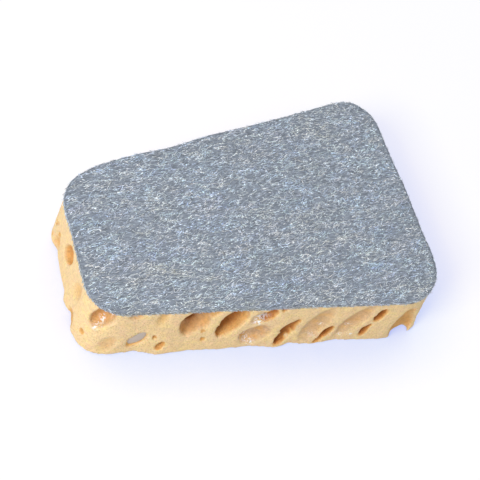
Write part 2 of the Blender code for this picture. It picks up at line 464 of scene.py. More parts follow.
def mesh_piece(
    name: str, points: Array, faces: list[Array], finish: bpy.types.Material
) -> bpy.types.Object:
    """Make an object from arrays of points and faces.

    Args:
        name: the piece's name.
        points: an array of places, one row each.
        faces: arrays of vertex numbers, each with one face to a row.
        finish: the piece's material.

    Returns:
        The object, shaded smooth.
    """
    mesh = bpy.data.meshes.new(name)
    counts = np.concatenate([np.full(len(rows), rows.shape[1]) for rows in faces])
    corners = np.concatenate([rows.ravel() for rows in faces])
    mesh.vertices.add(len(points))
    mesh.vertices.foreach_set("co", points.astype(np.float32).ravel())
    mesh.loops.add(len(corners))
    mesh.loops.foreach_set("vertex_index", corners.astype(np.int32))
    mesh.polygons.add(len(counts))
    mesh.polygons.foreach_set("loop_start", (np.cumsum(counts) - counts).astype(np.int32))
    mesh.polygons.foreach_set("use_smooth", np.ones(len(counts), bool))
    mesh.update(calc_edges=True)
    mesh.materials.append(finish)
    piece = bpy.data.objects.new(name, mesh)
    bpy.context.scene.collection.objects.link(piece)
    return piece


def give_numbers(piece: bpy.types.Object, name: str, values: Array) -> None:
    """Store one number for each vertex as a named attribute."""
    attribute = piece.data.attributes.new(name, "FLOAT", "POINT")
    attribute.data.foreach_set("value", values.astype(np.float32))


def give_colours(piece: bpy.types.Object, name: str, values: Array) -> None:
    """Store one colour for each vertex as a named attribute."""
    attribute = piece.data.attributes.new(name, "FLOAT_COLOR", "POINT")
    full = np.concatenate([values, np.ones((len(values), 1))], axis=1)
    attribute.data.foreach_set("color", full.astype(np.float32).ravel())


def ringed_faces(rings: int, around: int) -> list[Array]:
    """Return the faces of a closed skin made of a first point, rings, and a last point.

    Four-sided faces join each ring to the next, and a fan of triangles closes each end.

    Args:
        rings: how many rings there are.
        around: how many points a ring has.
    """
    step = np.arange(around)
    after = (step + 1) % around
    lower = 1 + np.arange(rings - 1)[:, None] * around
    upper = lower + around
    bands = np.stack([lower + step, lower + after, upper + after, upper + step], axis=-1)
    last = 1 + (rings - 1) * around
    first_fan = np.stack([np.zeros(around, int), 1 + after, 1 + step], axis=1)
    last_fan = np.stack([np.full(around, last + around), last + step, last + after], axis=1)
    return [bands.reshape(-1, 4), first_fan, last_fan]


def ramp(values: Array, start: float, end: float) -> Array:
    """Return 0 at the start and beyond it, 1 at the end and beyond it, and a line between."""
    return np.clip((values - start) / (end - start), 0.0, 1.0)


def lattice_value(cell: Array, seed: int) -> Array:
    """Return a fixed chance number from -1 to 1 for each whole-numbered place.

    The three whole numbers and the seed are multiplied by large odd numbers, added,
    and folded onto themselves twice.

    Args:
        cell: whole numbers, with the three axes last.
        seed: which noise this is.
    """
    cell = cell.astype(np.uint32)
    code = cell[..., 0] * np.uint32(374761393) + cell[..., 1] * np.uint32(668265263)
    code = code + cell[..., 2] * np.uint32(2246822519) + np.uint32(seed * 40503 + 7)
    code = (code ^ (code >> np.uint32(13))) * np.uint32(1274126177)
    code = code ^ (code >> np.uint32(16))
    return code.astype(np.float64) * (2.0 / 4294967295.0) - 1.0


def smooth_noise(points: Array, size: float, seed: int) -> Array:
    """Return smooth noise from -1 to 1 at places.

    Each corner of a lattice holds a chance number, and a place takes the mean of
    its cell's eight corners, weighted by an S-curve of its share along each axis.

    Args:
        points: places, with the three axes last.
        size: the lattice's step in metres.
        seed: which noise this is.
    """
    scaled = points / size
    base = np.floor(scaled)
    share = scaled - base
    share = share * share * (3.0 - 2.0 * share)
    base = base.astype(np.int64)
    total = np.zeros(points.shape[:-1])
    for corner in np.ndindex(2, 2, 2):
        offset = np.array(corner)
        weight = np.where(offset == 1, share, 1.0 - share).prod(axis=-1)
        total += weight * lattice_value(base + offset, seed)
    return total


CELL_EDGES = tuple(
    (start, tuple(start[axis] + (axis == way) for axis in range(3)))
    for way in range(3)
    for start in np.ndindex(2, 2, 2)
    if start[way] == 0
)


def wrap_level(distance: Array, origin: Array, step: float) -> tuple[Array, Array]:
    """Wrap the zero level of a grid of distances in four-sided faces.

    Each grid cell that the surface crosses gets one vertex, at the mean of the
    places where the surface cuts the cell's edges. Each grid edge that it crosses
    gets one face, between the four cells round that edge.

    Args:
        distance: distances on a grid, negative inside.
        origin: the place of the grid's first point.
        step: the grid's step in metres.

    Returns:
        The vertices, and the faces as rows of four vertex numbers.
    """
    inside = distance < 0.0
    sizes = np.array(inside.shape) - 1
    count = np.zeros(tuple(sizes), np.int8)
    for dx, dy, dz in np.ndindex(2, 2, 2):
        count += inside[dx:dx + sizes[0], dy:dy + sizes[1], dz:dz + sizes[2]]
    mixed = (count > 0) & (count < 8)
    cells = np.argwhere(mixed)
    number = np.full(mixed.shape, -1, np.int64)
    number[mixed] = np.arange(len(cells))
    total = np.zeros((len(cells), 3))
    crossings = np.zeros((len(cells), 1))
    for start, end in CELL_EDGES:
        first = distance[tuple((cells + start).T)]
        second = distance[tuple((cells + end).T)]
        cut = (first < 0.0) != (second < 0.0)
        share = np.where(cut, first / np.where(cut, first - second, 1.0), 0.0)
        place = np.array(start) + share[:, None] * (np.array(end) - np.array(start))
        total += np.where(cut[:, None], place, 0.0)
        crossings += cut[:, None]
    vertices = origin + step * (cells + total / crossings)
    faces = []
    for axis in range(3):
        second, third = (axis + 1) % 3, (axis + 2) % 3
        turned = np.moveaxis(inside, (axis, second, third), (0, 1, 2))
        lower = turned[:-1, 1:-1, 1:-1]
        upper = turned[1:, 1:-1, 1:-1]
        numbers = np.moveaxis(number, (axis, second, third), (0, 1, 2))
        for leaving in (True, False):
            a, b, c = np.argwhere((lower == leaving) & (upper != leaving)).T
            ring = [numbers[a, b + up, c + over] for up, over in ((0, 0), (1, 0), (1, 1), (0, 1))]
            faces.append(np.stack(ring if leaving else ring[::-1], axis=1))
    return vertices, np.concatenate(faces)


# The sponge's outline, its cut edges and its pores


MILLIMETRE = 0.001


@dataclass(frozen=True)
class Edge:
    """How far a hand-cut edge strays from its outline: pairs of place and offset, in millimetres."""

    offsets: tuple[tuple[float, float], ...]

    def at(self, distances: Array, around: float) -> Array:
        """Return the offset at distances round the outline, outwards, in metres.

        Straight lines run from each pair to the next, and from the last to the first.

        Args:
            distances: places round the outline.
            around: the outline's whole length.
        """
        places, offsets = np.array(self.offsets).T * MILLIMETRE
        return np.interp(distances, places, offsets, period=around)


CUT_EDGE = Edge((
    (0, -0.1), (30, -0.1), (40, 0.1), (52, -0.1), (85, 0.3), (95, 0.0), (105, 0.0), (111, 0.4), (117, 0.1),
    (135, 0.4), (147, -0.1), (160, -0.1), (171, 0.6), (178, 0.0), (195, -0.2), (210, 0.0), (225, 0.4),
    (240, -0.2), (250, 0.6), (261, 0.5), (268, -0.4), (285, 0.1), (292, -0.2), (303, 0.0),
))
FOOT_EDGE = Edge((
    (0, 0.5), (6, -0.4), (14, 1.5), (23, 0.6), (30, 0.9), (42, 0.2), (50, 1.4), (54, 0.1), (62, 0.8),
    (70, -0.5), (80, 0.2), (88, -0.1), (92, 0.3), (97, 1.2), (101, 0.0), (108, -0.2), (118, 0.3),
    (130, -0.2), (146, 0.4), (160, -0.3), (180, 0.3), (196, -0.3), (214, 0.3), (232, -0.1), (250, 0.4),
    (266, 0.0), (281, 0.3), (284, -0.9), (291, 0.3), (298, 0.3), (301, 1.4), (305, 0.3), (309, 1.3),
    (317, 1.2), (322, 0.6),
))


@dataclass(frozen=True)
class Outline:
    """The trapezoid with rounded corners that the pad and the foam's top share."""

    length: float = 0.110
    wide_end: float = 0.0785
    narrow_end: float = 0.046
    corner_radius: float = 0.012

    def corners(self, offset: Array) -> list[tuple[Array, Array]]:
        """Return the sharp corners, counter-clockwise from the front left, moved outwards."""
        end = self.length / 2 + offset
        narrow = self.narrow_end / 2 + offset
        wide = self.wide_end / 2 + offset
        return [(-end, -narrow), (end, -wide), (end, wide), (-end, narrow)]

    def distance(self, x: Array, y: Array, offset: Array, radius: Array) -> Array:
        """Return the distance to the rounded outline, negative inside.

        The corners' arc centres span a smaller trapezoid. Inside it the distance is
        that to its nearest edge line, and outside it that to its nearest edge, and
        the corner radius is taken off.

        Args:
            x, y: the places.
            offset: how far the sharp corners are moved outwards.
            radius: the corner radius.
        """
        corners = self.corners(offset)
        count = len(corners)
        normals = []
        for index in range(count):
            (ax, ay), (bx, by) = corners[index], corners[(index + 1) % count]
            span = np.hypot(bx - ax, by - ay)
            normals.append(((by - ay) / span, -(bx - ax) / span))
        centres = []
        for index in range(count):
            (px, py), (qx, qy) = normals[index - 1], normals[index]
            pull = radius / (1.0 + px * qx + py * qy)
            cx, cy = corners[index]
            centres.append((cx - (px + qx) * pull, cy - (py + qy) * pull))
        deepest = None
        nearest = None
        for index in range(count):
            (ax, ay), (bx, by) = centres[index], centres[(index + 1) % count]
            nx, ny = normals[index]
            level = nx * (x - ax) + ny * (y - ay)
            ex, ey = bx - ax, by - ay
            share = np.clip(((x - ax) * ex + (y - ay) * ey) / (ex * ex + ey * ey), 0.0, 1.0)
            away = (x - ax - ex * share) ** 2 + (y - ay - ey * share) ** 2
            deepest = level if deepest is None else np.maximum(deepest, level)
            nearest = away if nearest is None else np.minimum(nearest, away)
        return np.where(deepest > 0.0, np.sqrt(nearest), deepest) - radius

    def arcs(self) -> tuple[Array, Array, Array]:
        """Return the corner arcs' centres and first angles, and the lengths round the outline.

        The lengths are those of the front edge, the arc at its right, the right edge,
        and so on round. An arc takes its radius times the tangent of half its sweep
        from either edge that it joins.
        """
        corners = np.array(self.corners(0.0))
        spans = np.roll(corners, -1, axis=0) - corners
        lengths = np.linalg.norm(spans, axis=1)
        outgoing = spans / lengths[:, None]
        incoming = np.roll(outgoing, 1, axis=0)
        sweeps = np.arccos((incoming * outgoing).sum(axis=1))
        cuts = self.corner_radius * np.tan(sweeps / 2)
        inward = np.column_stack([-incoming[:, 1], incoming[:, 0]])
        centres = corners + inward * self.corner_radius - incoming * cuts[:, None]
        edges = lengths - cuts - np.roll(cuts, -1)
        bends = np.roll(sweeps, -1) * self.corner_radius
        starts = np.arctan2(-inward[:, 1], -inward[:, 0])
        return centres, starts, np.column_stack([edges, bends]).ravel()

    def place(self, distances: Array) -> tuple[Array, Array]:
        """Return the points and the outward normals at distances round the outline.

        On an arc, a point lies a radius from the centre at its angle. On an edge, it
        lies before the start of the next arc by what is left of the edge.

        Args:
            distances: counter-clockwise from the left end of the front edge.
        """
        centres, starts, lengths = self.arcs()
        ends = np.cumsum(lengths)
        distances = distances % ends[-1]
        stretch = np.minimum(np.searchsorted(ends, distances), len(ends) - 1)
        curved = stretch % 2 == 1
        corner = (stretch // 2 + 1) % len(starts)
        left = ends[stretch] - distances
        beyond = np.where(curved, lengths[stretch] - left, 0.0)
        angle = starts[corner] + beyond / self.corner_radius
        normals = np.stack([np.cos(angle), np.sin(angle)], axis=-1)
        onward = np.stack([-np.sin(angle), np.cos(angle)], axis=-1)
        points = centres[corner] + self.corner_radius * normals
        return points - np.where(curved, 0.0, left)[..., None] * onward, normals

    def total(self) -> float:
        """Return the outline's whole length."""
        return float(self.arcs()[2].sum())

    def front_edge(self) -> float:
        """Return the straight length of the front edge."""
        return float(self.arcs()[2][0])

    def samples(self, count: int) -> tuple[Array, Array, Array]:
        """Return evenly spaced distances round the outline, with their points and normals."""
        distances = np.arange(count) * self.total() / count
        return distances, *self.place(distances)

    def place_of(self, x: Array, y: Array) -> Array:
        """Return each place's distance round the outline, by its angle from the middle."""
        distances, points, _ = self.samples(720)
        angles = np.unwrap(np.arctan2(points[:, 1], points[:, 0]))
        turn = 2.0 * math.pi
        sought = (np.arctan2(y, x) - angles[0]) % turn + angles[0]
        return np.interp(sought, np.append(angles, angles[0] + turn), np.append(distances, self.total()))


@dataclass(frozen=True)
class Pore:
    """A spindle-shaped hole in the foam's wall.

    along: place round the outline as a share of the front edge's straight length.
    up: height of the centre, as a share of the foam's height.
    half_long, half_wide, depth: half axes upright, along the wall and inwards.
    lean: degrees from upright, with the top towards the right.
    film: how much of the cell's film is left in it, from 0 to 1.
    pale: how much of the skin's colour it keeps against the painted shade inside, from 0 to 1.
    point: 2 for round ends, towards 1 for pointed ones.
    """

    along: float
    up: float
    half_long: float
    half_wide: float
    depth: float
    lean: float
    film: float = 0.0
    pale: float = 0.0
    point: float = 1.5


@dataclass(frozen=True)
class Hollow:
    """A spindle in space: its centre, three directions with the long one last, and half axes."""

    centre: Vector
    axes: tuple[Vector, Vector, Vector]
    half_axes: tuple[float, float, float]
    film: float = 0.0
    pale: float = 0.0
    point: float = 1.5
    on_skin: bool = False

    LEAST_STEEP = 100.0

    def level(self, x: Array, y: Array, z: Array, sunk: Array) -> tuple[Array, Array]:
        """Return each place's share of the way to the surface, and its rough distance.

        Places are turned into the spindle's own directions and divided by its half
        axes. The distance from its long axis, to the power of point, plus the square
        of the place along it, is 1 on the surface. The rough distance is that sum
        less 1, over its steepness.

        Args:
            x, y, z: the places.
            sunk: their depth under the skin, which a hollow on the skin takes for its
                second direction, so that it follows the waves.
        """
        dx, dy, dz = x - self.centre.x, y - self.centre.y, z - self.centre.z
        wide, deep, long = self.half_axes
        aside, inward, along = (
            (dx * axis.x + dy * axis.y + dz * axis.z) / half
            for axis, half in zip(self.axes, self.half_axes)
        )
        if self.on_skin:
            inward = sunk / deep
        across = np.sqrt(aside**2 + inward**2) + 1e-9
        total = across**self.point + along**2
        outwards = self.point * across ** (self.point - 2.0)
        steep = (outwards * aside / wide) ** 2 + (outwards * inward / deep) ** 2 + (2.0 * along / long) ** 2
        return np.sqrt(total), (total - 1.0) / np.sqrt(steep + self.LEAST_STEEP**2)


def blend_out(solid: Array, hole: Array, softness: float) -> Array:
    """Take a hole out of a solid, with its rim rounded.

    The result is the greater of the solid's distance and the hole's distance turned
    round, raised by a parabola where the two are closer than the softness.
    """
    cut = -hole
    near = np.clip(1.0 - np.abs(solid - cut) / softness, 0.0, None)
    return np.maximum(solid, cut) + near * near * softness * 0.25


@dataclass
class PoreField:
    """All the pores: those placed one by one, and those that follow the seeded rule.

    Places along the wall are shares of the front edge's length, and the ends of a span
    that runs on round the outline are named _from and _to.
    """

    outline: Outline
    height: float = 0.025
    flare: float = 0.0015
    seed: int = 11
    half_lengths: Span = (0.0030, 0.0085)
    half_widths: Span = (0.0014, 0.0036)
    depths: Span = (0.0018, 0.0060)
    leans: Span = (6.0, 22.0)
    filmed: float = 0.4
    films: Span = (0.4, 0.8)
    pales: Span = (0.3, 0.7)
    points: Span = (1.3, 1.8)
    wall_step: float = 0.0070
    wall_from: float = 1.23
    wall_to: float = -0.565
    wall_rows: Span = (0.74, 0.26)
    wall_row_jitter: float = 0.14
    wall_step_jitter: float = 0.25
    floor_step: float = 0.0115
    floor_margin: float = 0.0065
    floor_jitter: float = 0.22
    floor_ovals: Span = (1.0, 1.5)
    floor_least: float = 0.001
    wall_left: float = 0.0022
    undercut: float = 24.0
    undercut_from: float = 0.0036
    shallow: float = 0.0018
    inner_from: Span = (0.0025, 0.0055)
    inner_cells: int = 2
    inner_sunk: Span = (0.75, 0.95)
    inner_along: float = 0.5
    inner_aside: float = 0.4
    inner_sizes: Span = (0.3, 0.5)
    inner_oval: Triple = (1.0, 1.1, 1.7)
    faint_cells: int = 45
    faint_from: float = 1.15
    faint_to: float = -0.5
    faint_heights: Span = (0.1, 0.95)
    faint_lengths: Span = (0.0018, 0.0050)
    faint_widths: Span = (0.30, 0.50)
    faint_depths: Span = (0.0003, 0.0006)
    faint_pales: Span = (0.7, 1.0)
    faint_film: float = 0.12
    pinholes: int = 170
    pinhole_from: float = 1.12
    pinhole_to: float = -0.45
    pinhole_heights: Span = (0.03, 0.97)
    pinhole_sizes: Span = (0.0005, 0.0010)
    pinhole_stretch: Span = (1.2, 2.6)
    pinhole_floor: float = 1.4
    hollows: list[Hollow] = field(default_factory=list)

    PLACED = (
        Pore(-0.078, 0.80, 0.0074, 0.0029, 0.0037, 24.0, 0.50, 0.50, 1.7),
        Pore(0.030, 0.95, 0.0022, 0.0020, 0.0012, 15.0, 0.3, 0.6),
        Pore(-0.042, 0.26, 0.0055, 0.0026, 0.0008, 18.0, 0.15, 0.84),
        Pore(0.052, 0.34, 0.0052, 0.0022, 0.0018, 25.0),
        Pore(0.124, 0.85, 0.0045, 0.0018, 0.0008, 8.0, 0.15, 0.8),
        Pore(0.140, 0.21, 0.0027, 0.0010, 0.0015, 20.0),
        Pore(0.248, 0.74, 0.0086, 0.0041, 0.0056, 13.0, 0.45, 0.30, 1.9),
        Pore(0.290, 0.96, 0.0040, 0.0026, 0.0022, 20.0, 0.0, 0.30, 1.8),
        Pore(0.378, 0.70, 0.0100, 0.0035, 0.0070, 16.0, 0.0, 0.05, 1.6),
        Pore(0.505, 0.83, 0.0040, 0.0019, 0.0037, 14.0),
        Pore(0.467, 0.77, 0.0040, 0.0022, 0.0009, 14.0, 0.8, 0.8),
        Pore(0.482, 0.36, 0.0062, 0.0043, 0.0024, 27.0, 0.95, 0.46, 1.7),
        Pore(0.549, 0.97, 0.0014, 0.0009, 0.0015, 12.0),
        Pore(0.601, 0.37, 0.0083, 0.0019, 0.0055, 15.0, 0.0, 0.0, 1.7),
        Pore(0.582, 0.17, 0.0030, 0.0010, 0.0010, 22.0),
        Pore(0.703, 0.52, 0.0114, 0.0037, 0.0014, 13.0, 0.90, 0.74),
        Pore(0.757, 0.29, 0.0042, 0.0015, 0.0036, 14.0),
        Pore(0.738, 0.12, 0.0026, 0.0010, 0.0017, 24.0),
        Pore(0.845, 0.58, 0.0104, 0.0033, 0.0014, 18.0, 0.90, 0.68),
        Pore(0.933, 0.71, 0.0048, 0.0013, 0.0036, 9.0),
        Pore(0.909, 0.29, 0.0044, 0.0010, 0.0034, 7.0),
        Pore(1.062, 0.30, 0.0122, 0.0047, 0.0024, -10.0, 0.0, 0.64, 2.0),
        Pore(-0.370, 0.62, 0.0070, 0.0028, 0.0032, 19.0, 0.0, 0.2),
        Pore(-0.202, 0.08, 0.0042, 0.0030, 0.0006, 10.0, 0.0, 0.6),
        Pore(-0.225, 0.62, 0.0060, 0.0026, 0.0010, 15.0, 0.2, 0.8),
        Pore(-0.485, 0.20, 0.0044, 0.0020, 0.0008, 14.0, 0.0, 0.75),
    )
    PINHOLES = (
        Pore(0.112, 0.41, 0.0011, 0.0005, 0.0010, 10.0),
        Pore(0.280, 0.50, 0.0008, 0.0006, 0.0008, 5.0),
        Pore(0.290, 0.30, 0.0011, 0.0006, 0.0010, 16.0),
        Pore(-0.128, 0.28, 0.0012, 0.0008, 0.0008, -25.0, 0.0, 0.2),
    )

    # Painted white highlights: place along the front edge, share of the height, size and strength.
    PAINTED_GLINTS = (
        (-0.087, 0.62, 0.0010, 1.3), (-0.094, 0.54, 0.0008, 1.0), (-0.060, 0.80, 0.0009, 0.7),
        (0.028, 0.94, 0.0010, 0.5), (0.478, 0.76, 0.0018, 1.6), (0.471, 0.66, 0.0013, 1.4),
        (0.440, 0.30, 0.0010, 1.4), (0.455, 0.18, 0.0009, 0.9), (0.474, 0.12, 0.0011, 1.4),
        (0.702, 0.24, 0.0014, 0.35), (0.720, 0.47, 0.0006, 1.1), (0.821, 0.18, 0.0007, 1.1),
        (0.858, 0.22, 0.0008, 1.2), (0.832, 0.40, 0.0012, 0.45), (0.908, 0.45, 0.0005, 0.7),
    )

    def __post_init__(self) -> None:
        """Work out every hollow."""
        self.add_placed()
        self.add_wall_pores()
        self.add_floor_pores()
        self.add_inner_cells()
        self.add_faint_cells()
        self.add_pinholes()

    def wall_hollow(self, pore: Pore) -> Hollow:
        """Turn a wall pore into a spindle in space, with its middle on the wavy skin."""
        distance = pore.along * self.outline.front_edge()
        point, outward = (Vector(found) for found in self.outline.place(np.array(distance)))
        around, low = self.outline.total(), 1.0 - pore.up
        stray = CUT_EDGE.at(distance, around) + FOOT_EDGE.at(distance, around) * low**2
        point = point + outward * (self.flare * low + float(stray))
        inward = Vector((-outward.x, -outward.y, 0.0))
        rightward = Vector((-outward.y, outward.x, 0.0))
        lean = math.radians(pore.lean)
        upward = Vector((0.0, 0.0, 1.0)) * math.cos(lean) + rightward * math.sin(lean)
        centre = Vector((point.x, point.y, pore.up * self.height))
        half_axes = (pore.half_wide, pore.depth, pore.half_long)
        if pore.depth > self.undercut_from:
            inward = Matrix.Rotation(math.radians(self.undercut), 3, upward) @ inward
        axes = (inward.cross(upward), inward, upward)
        on_skin = pore.depth <= self.shallow
        return Hollow(centre, axes, half_axes, pore.film, pore.pale, pore.point, on_skin)

    def add_placed(self) -> None:
        """Add the pores that the front and the left show."""
        for pore in self.PLACED + self.PINHOLES:
            self.hollows.append(self.wall_hollow(pore))

    def chance_pore(self, chance: random.Random, along: float, up: float) -> Pore:
        """Return a pore of chance size and lean at a place of the wall."""
        half_long = chance.uniform(*self.half_lengths)
        half_wide = min(chance.uniform(*self.half_widths), half_long)
        depth = chance.uniform(*self.depths)
        return Pore(along, up, half_long, half_wide, depth, chance.uniform(*self.leans))

    def add_wall_pores(self) -> None:
        """Add pores round the right, the back and the rest of the left wall, in two rows."""
        chance = random.Random(self.seed)
        looks = random.Random(self.seed + 3)
        edge = self.outline.front_edge()
        first = self.wall_from * edge
        span = self.outline.total() + self.wall_to * edge - first
        count = max(1, round(span / self.wall_step))
        for index in range(count):
            shift = chance.uniform(-self.wall_step_jitter, self.wall_step_jitter)
            distance = first + span * (index + shift) / count
            up = self.wall_rows[index % len(self.wall_rows)]
            up += chance.uniform(-self.wall_row_jitter, self.wall_row_jitter)
            pore = self.chance_pore(chance, distance / edge, up)
            if looks.random() < self.filmed:
                pore = replace(pore, film=looks.uniform(*self.films), pale=looks.uniform(*self.pales))
            self.hollows.append(self.wall_hollow(replace(pore, point=looks.uniform(*self.points))))

    def add_floor_pores(self) -> None:
        """Add pores up into the underside, on a jittered grid kept clear of the walls."""
        chance = random.Random(self.seed + 1)
        reach = self.outline.length / 2 - self.floor_margin
        columns = max(1, round(2 * reach / self.floor_step))
        for column in range(columns):
            x = -reach + 2 * reach * (column + 0.5) / columns
            share = (x + self.outline.length / 2) / self.outline.length
            taper = self.outline.wide_end - self.outline.narrow_end
            side = (self.outline.narrow_end + taper * share) / 2 - self.floor_margin
            rows = max(1, round(2 * side / self.floor_step))
            for row in range(rows):
                y = -side + 2 * side * (row + 0.5) / rows
                self.hollows.append(self.floor_hollow(x, y, chance))

    def floor_hollow(self, x: float, y: float, chance: random.Random) -> Hollow:
        """Return one pore of the underside, near a place."""
        jitter = self.floor_step * self.floor_jitter
        centre = Vector((x + chance.uniform(-jitter, jitter), y + chance.uniform(-jitter, jitter), 0.0))
        lean = math.radians(chance.uniform(*self.leans))
        upward = Vector((math.sin(lean), 0.0, math.cos(lean)))
        turn = Matrix.Rotation(chance.uniform(0.0, math.pi), 3, upward)
        sideways = turn @ upward.cross(Vector((1.0, 0.0, 0.0))).normalized()
        half_wide = chance.uniform(*self.half_widths)
        half_broad = half_wide * chance.uniform(*self.floor_ovals)
        half_axes = (half_wide, half_broad, chance.uniform(*self.half_lengths))
        wall = self.outline.distance(centre.x, centre.y, 0.0, self.outline.corner_radius)
        room = max(self.floor_least, -float(wall) - self.wall_left)
        half_axes = tuple(min(half, room) for half in half_axes)
        return Hollow(centre, (sideways, upward.cross(sideways), upward), half_axes)

    def add_inner_cells(self) -> None:
        """Open small deeper cells in the inner walls of the deep pores."""
        chance = random.Random(self.seed + 4)
        for hollow in list(self.hollows):
            half_wide, depth, half_long = hollow.half_axes
            if half_wide < self.inner_from[0] or depth < self.inner_from[1]:
                continue
            aside, inward, upward = hollow.axes
            for _ in range(self.inner_cells):
                shift = inward * depth * chance.uniform(*self.inner_sunk)
                shift += upward * half_long * chance.uniform(-self.inner_along, self.inner_along)
                shift += aside * half_wide * chance.uniform(-self.inner_aside, self.inner_aside)
                size = half_wide * chance.uniform(*self.inner_sizes)
                half_axes = tuple(size * part for part in self.inner_oval)
                self.hollows.append(Hollow(hollow.centre + shift, hollow.axes, half_axes))

    def add_faint_cells(self) -> None:
        """Scatter shallow closed cells over the right and the back wall."""
        chance = random.Random(self.seed + 5)
        last = self.outline.total() / self.outline.front_edge() + self.faint_to
        for _ in range(self.faint_cells):
            along = chance.uniform(self.faint_from, last)
            half_long = chance.uniform(*self.faint_lengths)
            half_wide = half_long * chance.uniform(*self.faint_widths)
            depth = chance.uniform(*self.faint_depths)
            up = chance.uniform(*self.faint_heights)
            looks = (chance.uniform(*self.leans), self.faint_film, chance.uniform(*self.faint_pales))
            self.hollows.append(self.wall_hollow(Pore(along, up, half_long, half_wide, depth, *looks)))

    def add_pinholes(self) -> None:
        """Scatter small open cells over the walls and the underside."""
        chance = random.Random(self.seed + 2)
        last = self.outline.total() / self.outline.front_edge() + self.pinhole_to
        for index in range(self.pinholes):
            size = chance.uniform(*self.pinhole_sizes)
            along = chance.uniform(self.pinhole_from, last)
            half_long = size * chance.uniform(*self.pinhole_stretch)
            up = chance.uniform(*self.pinhole_heights)
            hollow = self.wall_hollow(Pore(along, up, half_long, size, size, chance.uniform(*self.leans)))
            if index % 2:
                x = chance.uniform(-0.5, 0.5) * self.outline.length
                y = chance.uniform(-0.5, 0.5) * self.outline.narrow_end * self.pinhole_floor
                hollow = Hollow(Vector((x, y, 0.0)), hollow.axes, hollow.half_axes)
            self.hollows.append(hollow)


# The foam block


